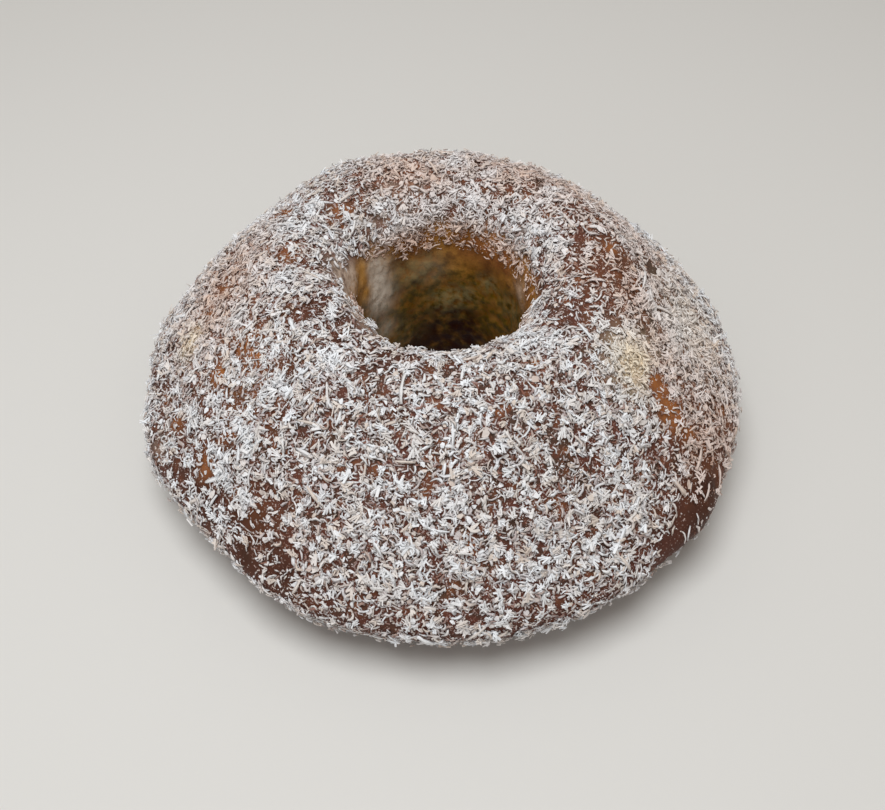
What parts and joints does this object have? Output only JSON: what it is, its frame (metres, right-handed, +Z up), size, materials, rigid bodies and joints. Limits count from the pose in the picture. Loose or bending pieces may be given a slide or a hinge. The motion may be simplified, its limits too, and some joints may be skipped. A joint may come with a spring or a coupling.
{
  "type": "coconut ring cake",
  "caption": "Whole baked ring cake with a domed brown crust, a round centre hole and a coat of fine white shredded coconut, resting on its flat base.",
  "frame": {"origin": "centre of the flat base on the surface that the cake stands on, on the ring's axis", "axes": "+Z up along the ring's axis, -Y towards the side that faces the viewer, +X to the viewer's right"},
  "size_m": [0.1862, 0.1879, 0.0709],
  "materials": {
    "cake_crust": "satin",
    "coconut": "matte"
  },
  "bodies": {
    "root": {"coconut_ring_cake": "cake_crust"}
  },
  "joints": []
}
